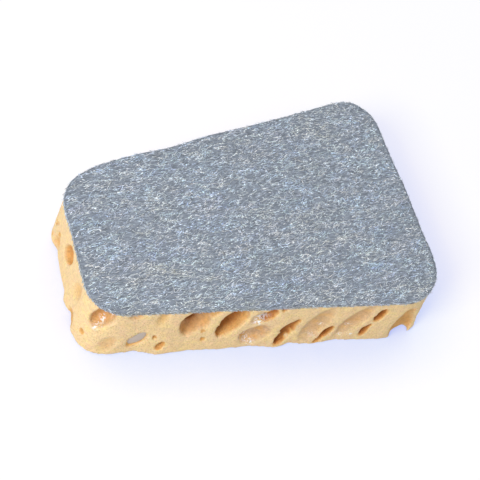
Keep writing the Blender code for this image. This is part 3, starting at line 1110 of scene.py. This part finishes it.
@dataclass
class FoamBlock:
    """The foam: a flared block with wavy cut walls, eaten into by its pores.

    Each fade is the value at which a share begins and the one at which it is whole.
    """

    outline: Outline
    pores: PoreField
    bottom_radius: float = 0.0105
    foot_round: float = 0.0008
    top_round: float = 0.0003
    step: float = 0.00061
    rim: float = 0.00045
    margin: float = 0.0026
    pale_rim: float = 2.0
    rim_share: float = 0.6
    rim_reach: float = 3.0
    roughness: float = 0.00016
    rough_size: float = 0.0016
    fine_roughness: float = 0.000096
    fine_rough_size: float = 0.0009
    warp: float = 0.00065
    warp_size: float = 0.0040
    fine_warp: float = 0.00022
    fine_warp_size: float = 0.0013
    # The fields from here to the fades set how the painted shade inside the pores deepens, and where films
    # fade.
    slim: float = 0.0020
    slim_reach: float = 0.6
    wide_reach: float = 1.1
    full_depth: float = 0.0040
    darkest_shade_depth: float = 0.0034
    hole_fade: Span = (1.22, 1.08)
    pore_shade_fade: Span = (0.0, 0.36)
    deep_shade_fade: Span = (0.35, 0.90)
    film_fade: Span = (1.12, 0.92)
    film_patches: float = 0.0022
    patch_contrast: float = 1.2
    painted_glint_depth: float = 0.004
    mark_margin: float = 0.001

    def skin_distance(self, x: Array, y: Array, z: Array) -> Array:
        """Return the distance to the uncut block, negative inside.

        The outline shrinks and rounds from foot to top, its waves are taken off, and
        the result meets the distance to the slab between foot and top in a rounded edge.
        """
        height = self.pores.height
        up = np.clip(z / height, 0.0, 1.0)
        offset = self.pores.flare * (1.0 - up)
        radius = self.bottom_radius + (self.outline.corner_radius - self.bottom_radius) * up
        wall = self.outline.distance(x, y, offset, radius)
        place = self.outline.place_of(x, y)
        around = self.outline.total()
        wall = wall - CUT_EDGE.at(place, around) - FOOT_EDGE.at(place, around) * (1.0 - up) ** 2
        slab = np.abs(z - height / 2) - height / 2
        rounding = self.foot_round + (self.top_round - self.foot_round) * up
        wide, tall = wall + rounding, slab + rounding
        corner = np.hypot(np.maximum(wide, 0.0), np.maximum(tall, 0.0))
        return np.minimum(np.maximum(wide, tall), 0.0) + corner - rounding

    def grid(self) -> tuple[Array, Array]:
        """Return the distance grid, with its first point.

        The block's distance gets fine noise, and each pore is taken out of the part
        of the grid that it reaches, at places that noise has shifted if it is deep.
        """
        reach_x = self.outline.length / 2 + self.pores.flare + self.margin
        reach_y = self.outline.wide_end / 2 + self.pores.flare + self.margin
        low = np.array([-reach_x, -reach_y, -self.margin])
        high = np.array([reach_x, reach_y, self.pores.height + self.margin])
        counts = np.ceil((high - low) / self.step).astype(int) + 1
        ticks = (first + self.step * np.arange(count) for first, count in zip(low, counts))
        x, y, z = np.meshgrid(*ticks, indexing="ij")
        distance = self.skin_distance(x, y, z)
        sunk = -distance
        places = np.stack([x, y, z], axis=-1)
        distance += smooth_noise(places, self.rough_size, 21) * self.roughness
        distance += smooth_noise(places, self.fine_rough_size, 22) * self.fine_roughness
        shifted = []
        for index, axis in enumerate((x, y, z)):
            slow = smooth_noise(places, self.warp_size, 30 + index) * self.warp
            fine = smooth_noise(places, self.fine_warp_size, 35 + index) * self.fine_warp
            shifted.append(axis + slow + fine)
        for hollow in self.pores.hollows:
            reach = max(hollow.half_axes) + self.rim_reach * self.rim
            middle = np.array(hollow.centre) - low
            start = np.clip(((middle - reach) / self.step).astype(int), 0, counts - 1)
            stop = np.clip(((middle + reach) / self.step).astype(int) + 2, 1, counts)
            part = tuple(slice(a, b) for a, b in zip(start, stop))
            axes = shifted if hollow.half_axes[1] > self.pores.shallow else (x, y, z)
            _, away = hollow.level(*(axis[part] for axis in axes), sunk[part])
            rim = self.rim * (1.0 + self.pale_rim * hollow.pale)
            rim = min(rim, min(hollow.half_axes) * self.rim_share)
            distance[part] = blend_out(distance[part], away, rim)
        return distance, low

    def build(self) -> bpy.types.Object:
        """Return the foam block's object."""
        distance, low = self.grid()
        points, faces = wrap_level(distance, low, self.step)
        piece = mesh_piece("foam_block", points, [faces], FoamFinish().build())
        self.mark_pores(piece, points)
        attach(piece, BODY)
        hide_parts("sponge_body")
        LOG.info("foam block: %d vertices, %d faces", len(points), len(faces))
        return piece

    def mark_pores(self, piece: bpy.types.Object, points: Array) -> None:
        """Store where each vertex lies within a pore's painted shade, a film or a painted glint.

        Inside a pore, the depth over the pore's own depth tells how much of the painted
        shade shows, the inner colour and then the deep one. A film fades out over the pore's
        rim. A painted glint is a bell curve of the distance to its middle, along the wall.

        Args:
            piece: the foam block's object.
            points: its vertices.
        """
        x, y, z = points.T
        depth = np.maximum(-self.skin_distance(x, y, z), 0.0)
        film, inside, deep, glint = np.zeros((4, len(points)))
        # Painted shade inside the pores, and the films.
        for hollow in self.pores.hollows:
            centre = np.array(hollow.centre)
            within = max(hollow.half_axes) + self.mark_margin
            near = np.flatnonzero(np.abs(points - centre).max(axis=1) < within)
            share, _ = hollow.level(x[near], y[near], z[near], depth[near])
            half_wide, full, _ = hollow.half_axes
            full = min(full, self.full_depth)
            reach = min(full, half_wide * (self.slim_reach if half_wide < self.slim else self.wide_reach))
            sunk = ramp(share, *self.hole_fade) * depth[near] / reach * (1.0 - hollow.pale)
            inside[near] = np.maximum(inside[near], ramp(sunk, *self.pore_shade_fade))
            darkest = min(full / self.darkest_shade_depth, 1.0)
            deep[near] = np.maximum(deep[near], ramp(sunk, *self.deep_shade_fade) * darkest)
            film[near] = np.maximum(film[near], hollow.film * ramp(share, *self.film_fade))
        # Painted glints: white highlights put into the colour at the listed places.
        for along, up, size, strength in self.pores.PAINTED_GLINTS:
            spot = self.pores.wall_hollow(Pore(along, up, size, size, size, 0.0))
            offset = points - np.array(spot.centre)
            sideways, inward, upward = (offset @ np.array(axis) for axis in spot.axes)
            shown = strength * (np.abs(inward) < self.painted_glint_depth)
            glint = np.maximum(glint, shown * np.exp(-(sideways**2 + upward**2) / size**2))
        patches = np.clip(smooth_noise(points, self.film_patches, 41) * self.patch_contrast + 1.0, 0.0, 1.0)
        # hollow and deep carry the painted shade inside the pores, and glint the painted highlights.
        marks = {"deep": deep, "hollow": inside, "film": film * patches, "glint": glint}
        for name, values in marks.items():
            give_numbers(piece, name, values)


@dataclass
class CellFilm:
    """A lens-shaped film that closes one pore just under the foam's skin."""

    pores: PoreField
    pore: Pore = Pore(0.052, 0.34, 0.0060, 0.0031, 0.0018, 25.0)
    sink: float = 0.00015
    thickness: float = 0.0002
    dish: float = 0.0006
    pointed: float = 0.35
    rings: int = 14
    spokes: int = 48

    def build(self) -> bpy.types.Object:
        """Return the film, a shallow dish.

        Its points run in rings from the middle of the back to the rim, and on to the
        middle of the front. A ring is a pointed oval: across, the sine of the angle
        times the half width, and along, the cosine times the half length. A parabola
        sinks the rim into the foam.
        """
        hollow = self.pores.wall_hollow(self.pore)
        centre = np.array(hollow.centre)
        sideways, inward, upward = (np.array(axis) for axis in hollow.axes)
        share = np.linspace(0.0, 1.0, self.rings)[1:]
        back = self.sink + self.thickness
        sunk = np.concatenate([back + self.dish * share**2, self.sink + self.dish * share[::-1] ** 2])
        share = np.concatenate([share, share[::-1]])[:, None]
        angle = np.arange(self.spokes)[None, :] * 2.0 * math.pi / self.spokes
        along = share * np.cos(angle) * self.pore.half_long
        across = share * np.sin(angle) * np.abs(np.sin(angle)) ** self.pointed * self.pore.half_wide
        rings = along[..., None] * upward + across[..., None] * sideways + sunk[:, None, None] * inward
        points = centre + np.concatenate([[back * inward], rings.reshape(-1, 3), [self.sink * inward]])
        faces = ringed_faces(len(share), self.spokes)
        piece = mesh_piece("cell_film", points, faces, LensFinish().build())
        give_numbers(piece, "edge", np.concatenate([[0.0], np.repeat(share, self.spokes), [0.0]]))
        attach(piece, BODY)
        LOG.info("cell film: %d vertices", len(piece.data.vertices))
        return piece


# The fleece pad


@dataclass(frozen=True)
class FibreTones:
    """The fibres' colours: a grey-blue that chance makes lighter or darker.

    Slow noise, drawn out along the lie, tints patches blue, olive or mauve.
    """

    base: Colour = (0.614, 0.686, 0.790)
    spread: float = 0.24
    least: float = 0.3
    odd: float = 0.05
    bright: Span = (1.35, 1.8)
    dark: Span = (0.30, 0.60)
    drawn_out: float = 0.45
    blue: Colour = (-0.08, 0.00, 0.09)
    blue_size: float = 0.0026
    olive: Colour = (0.04, 0.03, -0.07)
    olive_size: float = 0.0040
    tint_spread: float = 0.35
    limits: Span = (0.02, 0.95)

    def colours(self, middle: Array, chance: np.random.Generator, level: float) -> Array:
        """Return a colour for each fibre.

        Args:
            middle: the fibres' middles.
            chance: the source of chance numbers.
            level: how light they are on the whole.
        """
        count = len(middle)
        tone = level * np.clip(1.0 + chance.normal(0.0, self.spread, count), self.least, None)
        for span in (self.bright, self.dark):
            odd = chance.random(count) < self.odd
            tone = np.where(odd, tone * chance.uniform(*span, count), tone)
        where = np.column_stack([middle[:, 0] * self.drawn_out, middle[:, 1], np.zeros(count)])
        tint = 1.0
        for size, seed, colour in ((self.blue_size, 61, self.blue), (self.olive_size, 62, self.olive)):
            share = smooth_noise(where, size, seed) + chance.normal(0.0, self.tint_spread, count)
            tint = tint + share[:, None] * np.array(colour)
        return np.clip(np.array(self.base) * tone[:, None] * tint, *self.limits)


@dataclass(frozen=True)
class FibreLayer:
    """A layer of loose fibres: their number, lightness, height over the slab and widths."""

    count: int
    level: float
    lift: float
    widths: Span


@dataclass
class FleecePad:
    """The scouring fleece: a matted slab under three layers of loose fibres."""

    outline: Outline
    finish: bpy.types.Material
    tones: FibreTones = FibreTones()
    bottom: float = 0.0250
    thickness: float = 0.0018
    around: int = 520
    across: int = 64
    crowding: float = 0.8
    bumps: float = 0.00016
    bump_size: float = 0.0010
    ragged: float = 0.0018
    ragged_size: float = 0.0008
    lie: float = 9.0
    lie_spread: float = 19.0
    crossing: float = 0.22
    crossing_length: float = 0.7
    lengths: Span = (0.0009, 0.0031)
    bow: float = 0.16
    spare: float = 1.8
    margin: float = 0.002
    fringe: float = 0.00012
    rises: Span = (-0.00010, 0.00014)
    dives: Span = (0.00005, 0.00035)
    unevenness: float = 0.00005
    end_taper: float = 0.65
    fuzz: int = 3200
    fuzz_level: float = 0.80
    fuzz_halves: Span = (0.0004, 0.0013)
    fuzz_turn: float = 0.35
    fuzz_tilt: float = 0.30
    fuzz_out: float = 0.0001
    fuzz_heights: Span = (0.05, 1.0)
    fuzz_radii: Span = (0.00005, 0.00009)
    corners_left: float = 0.98
    seed: int = 5

    LAYERS = (
        FibreLayer(13000, 0.78, -0.00022, (0.00016, 0.00027)),
        FibreLayer(13000, 1.02, -0.00006, (0.00013, 0.00024)),
        FibreLayer(13000, 1.18, 0.00010, (0.00010, 0.00020)),
    )

    def slab(self) -> bpy.types.Object:
        """Return the matted slab.

        Its surface runs round the outline in one direction, and in the other from the
        middle of the underside out to the edge, up, and back to the middle of the top.
        The rows shrink the outline towards the middle, and noise lifts the top.
        """
        distances, points, normals = self.outline.samples(self.around)
        edge = points + normals * CUT_EDGE.at(distances, self.outline.total())[:, None]
        out = np.linspace(0.0, 1.0, self.across + 1)[1:] ** self.crowding
        sides = np.array([0.25, 0.5, 0.75])
        shares = np.concatenate([out[::6], np.ones(3), out[::-1]])
        heights = np.concatenate([np.zeros(len(out[::6])), sides, np.ones(len(out))])
        grid = np.empty((len(shares), len(edge), 3))
        grid[..., :2] = edge * shares[:, None, None]
        grid[..., 2] = (self.bottom + self.thickness * heights)[:, None]
        top = (heights == 1.0)[:, None]
        lift = smooth_noise(grid * np.array([0.5, 1.0, 1.0]), self.bump_size, 51) * self.bumps
        grid[..., 2] += np.where(top, lift, 0.0)
        ragged = smooth_noise(grid, self.ragged_size, 52) * self.ragged
        grid[..., :2] *= 1.0 + np.where(top, 0.0, ragged)[..., None]
        ends = [[0.0, 0.0, self.bottom]], [[0.0, 0.0, self.bottom + self.thickness]]
        vertices = np.concatenate([ends[0], grid.reshape(-1, 3), ends[1]])
        faces = ringed_faces(len(grid), self.around)
        piece = mesh_piece("fleece_slab", vertices, faces, FeltFinish().build())
        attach(piece, BODY)
        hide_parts("scouring_pad")
        LOG.info("fleece slab: %d vertices", len(vertices))
        return piece

    def edge_distance(self, x: Array, y: Array) -> Array:
        """Return the distance to the pad's cut edge, negative inside."""
        plain = self.outline.distance(x, y, 0.0, self.outline.corner_radius)
        return plain - CUT_EDGE.at(self.outline.place_of(x, y), self.outline.total())

    def strands(self, name: str, spine: Array, radius: Array, colours: Array) -> bpy.types.Object:
        """Return fibres as one piece.

        Each fibre is a three-sided tube: at each point of its spine, three corners lie
        round it at a third of a turn, square to the spine, and the ends are closed.

        Args:
            name: the piece's name.
            spine: the fibres' points, as fibre, point along it, and axis.
            radius: each fibre's radius.
            colours: each fibre's colour.
        """
        count, length, _ = spine.shape
        along = np.gradient(spine, axis=1)
        along /= np.linalg.norm(along, axis=2, keepdims=True)
        side = np.cross(along, [0.0, 0.0, 1.0])
        side /= np.linalg.norm(side, axis=2, keepdims=True) + 1e-9
        up = np.cross(side, along)
        angle = math.pi / 2 + np.arange(3) * 2.0 * math.pi / 3.0
        taper = np.ones(length)
        taper[[0, -1]] = self.end_taper
        reach = radius[:, None, None, None] * taper[None, :, None, None]
        ring = side[:, :, None, :] * np.cos(angle)[None, None, :, None]
        ring = ring + up[:, :, None, :] * np.sin(angle)[None, None, :, None]
        points = (spine[:, :, None, :] + ring * reach).reshape(-1, 3)
        base = (np.arange(count) * length * 3)[:, None, None]
        row = (np.arange(length - 1) * 3)[None, :, None]
        corner = np.arange(3)[None, None, :]
        after = (corner + 1) % 3
        near, far = base + row, base + row + 3
        quads = np.stack([near + corner, far + corner, far + after, near + after], axis=-1).reshape(-1, 4)
        first = base[:, 0] + np.arange(3)[None, :]
        last = first[:, ::-1] + (length - 1) * 3
        piece = mesh_piece(name, points, [quads, first, last], self.finish)
        give_colours(piece, "fibre_colour", np.repeat(colours, length * 3, axis=0))
        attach(piece, BODY)
        LOG.info("%s: %d fibres, %d faces", name, count, len(piece.data.polygons))
        return piece

    def top_layer(self, number: int) -> bpy.types.Object:
        """Return one layer of fibres on the pad's face.

        A fibre's middle is a chance place, its direction lies near X with a spread,
        or anywhere for a few, and it bows sideways by a parabola while its ends dive
        into the slab. Fibres that would pass the cut edge are left out.
        """
        chance = np.random.default_rng(self.seed + number)
        layer = self.LAYERS[number]
        tries = int(layer.count * self.spare)
        reach = np.array([self.outline.length, self.outline.wide_end]) + self.margin
        middle = chance.uniform(-0.5, 0.5, (2, tries)).T * reach
        angle = np.radians(chance.normal(self.lie, self.lie_spread, tries))
        across = chance.random(tries) < self.crossing
        angle = np.where(across, chance.uniform(0.0, math.pi, tries), angle)
        half = chance.uniform(*self.lengths, tries) / 2
        half = np.where(across, half * self.crossing_length, half)
        bow = chance.normal(0.0, self.bow, tries) * half
        share = np.linspace(-1.0, 1.0, 3)[None, :]
        way = np.stack([np.cos(angle), np.sin(angle)], axis=1)
        side = np.stack([-np.sin(angle), np.cos(angle)], axis=1)
        flat = (
            middle[:, None, :]
            + way[:, None, :] * (half[:, None] * share)[..., None]
            + side[:, None, :] * (bow[:, None] * (share**2 - 0.5))[..., None]
        )
        fringe = chance.exponential(self.fringe, tries)
        inside = self.edge_distance(flat[..., 0], flat[..., 1]).max(axis=1) < fringe
        kept = np.flatnonzero(inside)[:layer.count]
        top = self.bottom + self.thickness
        rise = chance.uniform(*self.rises, tries)[:, None] + layer.lift
        dive = chance.uniform(*self.dives, tries)[:, None]
        height = top + rise - dive * share**2 + chance.normal(0.0, self.unevenness, (tries, 3))
        spine = np.concatenate([flat, height[..., None]], axis=2)[kept]
        radius = chance.uniform(*layer.widths, tries)[kept] / 2
        colours = self.tones.colours(middle[kept], chance, layer.level)
        return self.strands(f"fleece_fibres_{number + 1}", spine, radius, colours)

    def edge_fuzz(self) -> bpy.types.Object:
        """Return short fibres on the pad's cut edge, most of them along it."""
        chance = np.random.default_rng(self.seed + 40)
        distances, points, normals = self.outline.samples(self.fuzz)
        edge = points + normals * CUT_EDGE.at(distances, self.outline.total())[:, None]
        tangent = np.column_stack([-normals[:, 1], normals[:, 0]])
        half = chance.uniform(*self.fuzz_halves, self.fuzz)
        turn = chance.normal(0.0, self.fuzz_turn, self.fuzz)
        tilt = chance.normal(0.0, self.fuzz_tilt, self.fuzz)
        share = np.linspace(-1.0, 1.0, 3)[None, :, None]
        way = tangent * np.cos(turn)[:, None] + normals * np.abs(np.sin(turn))[:, None]
        flat = edge[:, None, :] + way[:, None, :] * half[:, None, None] * share
        out = chance.uniform(-self.fuzz_out, self.fuzz_out, self.fuzz)
        flat = flat + normals[:, None, :] * out[:, None, None]
        level = self.bottom + self.thickness * chance.uniform(*self.fuzz_heights, self.fuzz)
        height = level[:, None] + (half * np.sin(tilt))[:, None] * share[..., 0]
        height = np.clip(height, self.bottom, None)
        spine = np.concatenate([flat, height[..., None]], axis=2)
        radius = chance.uniform(*self.fuzz_radii, self.fuzz)
        colours = self.tones.colours(edge, chance, self.fuzz_level)
        return self.strands("fleece_edge_fuzz", spine, radius, colours)

    def build(self) -> None:
        slab = self.slab()
        loose = [self.top_layer(number) for number in range(len(self.LAYERS))]
        loose.append(self.edge_fuzz())


# The studio


@dataclass(frozen=True)
class PhotoCamera:
    """The camera, by its angles round a point of the table, its roll and its lens."""

    azimuth: float = -39.85
    elevation: float = 58.69
    roll: float = 26.15
    distance: float = 0.33373
    aim: Triple = (0.00487, 0.00516, 0.0)
    focal_pixels: float = 992.93
    frame_pixels: float = 480.0
    sensor: float = 36.0

    def build(self) -> bpy.types.Object:
        """Return the scene's camera.

        The view runs from the aim point back along the azimuth and elevation, and the
        picture's right and up directions are turned by the roll.
        """
        azimuth, elevation, roll = (math.radians(a) for a in (self.azimuth, self.elevation, self.roll))
        back = Vector((
            math.sin(azimuth) * math.cos(elevation),
            -math.cos(azimuth) * math.cos(elevation),
            math.sin(elevation),
        ))
        level = (-back).cross(Vector((0.0, 0.0, 1.0))).normalized()
        upright = level.cross(-back)
        right = level * math.cos(roll) + upright * math.sin(roll)
        up = upright * math.cos(roll) - level * math.sin(roll)
        camera = bpy.data.objects.new("photo_camera", bpy.data.cameras.new("photo_camera"))
        camera.data.sensor_width = self.sensor
        camera.data.lens = self.sensor * self.focal_pixels / self.frame_pixels
        camera.data.clip_start = self.distance * 0.05
        camera.data.clip_end = self.distance * 100.0
        place = Matrix((right, up, back)).transposed().to_4x4()
        place.translation = Vector(self.aim) + back * self.distance
        camera.matrix_world = place
        bpy.context.scene.collection.objects.link(camera)
        bpy.context.scene.camera = camera
        return camera


@dataclass(frozen=True)
class Studio:
    """A white table under soft light from the upper left."""

    table_size: float = 6.0
    table_drop: float = 0.0001
    sky: float = 0.56
    cool: Colour = (0.98, 0.99, 1.03)
    warm: Colour = (1.0, 0.985, 0.96)
    key_power: float = 2.5
    key_size: float = 0.21
    key_from: Triple = (-0.41, -0.166, 0.446)
    fill_power: float = 1.4
    fill_size: float = 0.5
    fill_from: Triple = (0.35, 0.30, 0.65)

    def table(self) -> None:
        """Lay the table top, a flat square just under the sponge."""
        half = self.table_size / 2
        corners = np.array([(-half, -half), (half, -half), (half, half), (-half, half)])
        points = np.column_stack([corners, np.full(4, -self.table_drop)])
        table = mesh_piece("table_top", points, [np.array([[0, 1, 2, 3]])], TableFinish().build())

    def lamp(self, name: str, power: float, size: float, place: Triple) -> None:
        """Add a square lamp that points at the sponge."""
        data = bpy.data.lights.new(name, "AREA")
        data.energy = power
        data.color = self.warm
        data.size = size
        lamp = bpy.data.objects.new(name, data)
        lamp.location = place
        lamp.rotation_mode = "QUATERNION"
        lamp.rotation_quaternion = (-Vector(place)).to_track_quat("-Z", "Y")
        bpy.context.scene.collection.objects.link(lamp)

    def build(self) -> None:
        """Build the table, the lamps and the white surroundings."""
        scene = bpy.context.scene
        scene.view_settings.view_transform = "Standard"
        self.table()
        self.lamp("key_lamp", self.key_power, self.key_size, self.key_from)
        self.lamp("fill_lamp", self.fill_power, self.fill_size, self.fill_from)
        world = bpy.data.worlds.new("white_room")
        scene.world = world
        world.use_nodes = True
        make = Nodes(world.node_tree)
        seen = make.node("LightPath").outputs["Is Camera Ray"]
        sky = tuple(self.sky * part for part in self.cool)
        make.feed(make.tree.nodes["Background"], "Color", make.blend(seen, sky, WHITE))


def main() -> None:
    """Build the camera, the sponge and the studio, in that order."""
    logging.basicConfig(level=logging.INFO, format="%(name)s: %(message)s")
    PhotoCamera().build()
    outline = Outline()
    pores = PoreField(outline)
    LOG.info("pores: %d hollows", len(pores.hollows))
    FoamBlock(outline, pores).build()
    CellFilm(pores).build()
    FleecePad(outline, FibreFinish().build()).build()
    Studio().build()


if __name__ == "__main__":
    main()
